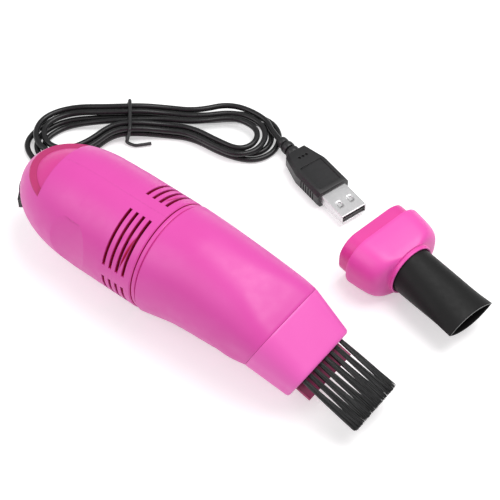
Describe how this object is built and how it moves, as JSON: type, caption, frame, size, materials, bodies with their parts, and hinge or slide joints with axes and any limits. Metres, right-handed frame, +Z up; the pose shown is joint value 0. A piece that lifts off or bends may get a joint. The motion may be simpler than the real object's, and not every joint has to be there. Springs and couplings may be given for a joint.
{
  "type": "desktop mini vacuum cleaner",
  "caption": "Pink handheld desktop vacuum cleaner with a brush nozzle, a spare rubber nozzle beside it and a black cord tied in a hank, ending in a flat plug",
  "frame": {"origin": "on the desk, under the middle of the box round the cleaner and its spare nozzle, cord and plug left out", "axes": "+X from the tail to the brush, +Y to the cleaner's left side, where the spare nozzle lies, +Z up"},
  "size_m": [0.2026, 0.1164, 0.0457],
  "materials": {
    "shell_plastic": "satin pink moulded plastic",
    "inner_plastic": "deep pink moulded plastic",
    "holder_plastic": "darker pink moulded plastic",
    "bristle": "black nylon bristle",
    "black_plastic": "black moulded plastic",
    "black_rubber": "soft black rubber",
    "cord_sheath": "soft black sheath, slight sheen",
    "tie_wire": "black coated wire tie",
    "plated_steel": "bright plated steel",
    "gold_contact": "bright brass",
    "dark_magnet": "dark grey",
    "filter_felt": "white filter felt",
    "red_wire": "red sheath",
    "black_wire": "black sheath"
  },
  "bodies": {
    "cleaner": {"rear_housing_left": "shell_plastic", "rear_housing_right": "shell_plastic", "spare_collar": "shell_plastic", "motor_mount": "inner_plastic", "fan_shroud": "inner_plastic", "motor_end_cap": "inner_plastic", "switch_bezel": "black_plastic", "switch_body": "black_plastic", "plug_insulator": "black_plastic", "spare_tube": "black_rubber", "cord_grommet": "black_rubber", "plug_strain_relief": "black_rubber", "barrel_seal": "black_rubber", "cord_lead": "cord_sheath", "cord_hank": "cord_sheath", "cord_tail": "cord_sheath", "plug_overmould": "cord_sheath", "cord_tie": "tie_wire", "plug_shell": "plated_steel", "motor_can": "plated_steel", "motor_screws": "plated_steel", "housing_screws": "plated_steel", "plug_contacts": "gold_contact", "motor_bushes": "gold_contact", "motor_terminals": "gold_contact", "motor_magnets": "dark_magnet", "lead_wire_red": "red_wire", "lead_wire_black": "black_wire"},
    "fan_rotor": {"motor_shaft": "plated_steel", "motor_armature": "dark_magnet", "motor_commutator": "gold_contact", "impeller": "inner_plastic"},
    "switch_slider": {"switch_knob": "black_plastic"},
    "barrel": {"dust_barrel": "shell_plastic"},
    "filter": {"filter_frame": "inner_plastic", "filter_cloth": "filter_felt"},
    "brush_nozzle": {"nozzle_collar": "shell_plastic", "brush_holder": "holder_plastic", "brush_tufts": "bristle"}
  },
  "joints": [
    {"name": "fan_spin", "type": "hinge", "parent": "cleaner", "child": "fan_rotor", "pos_m": [-0.03816, -0.02855, 0.0226], "axis": [1, 0, 0], "continuous": true},
    {"name": "switch_slide", "type": "slide", "parent": "cleaner", "child": "switch_slider", "axis": [0, 0, 1], "range_m": [0, 0.003]},
    {"name": "barrel_pull", "type": "slide", "parent": "cleaner", "child": "barrel", "axis": [1, 0, 0], "range_m": [0, 0.03]},
    {"name": "filter_pull", "type": "slide", "parent": "cleaner", "child": "filter", "axis": [1, 0, 0], "range_m": [0, 0.009]},
    {"name": "nozzle_pull", "type": "slide", "parent": "barrel", "child": "brush_nozzle", "axis": [0.9304, 0, -0.3665], "range_m": [0, 0.02]}
  ]
}
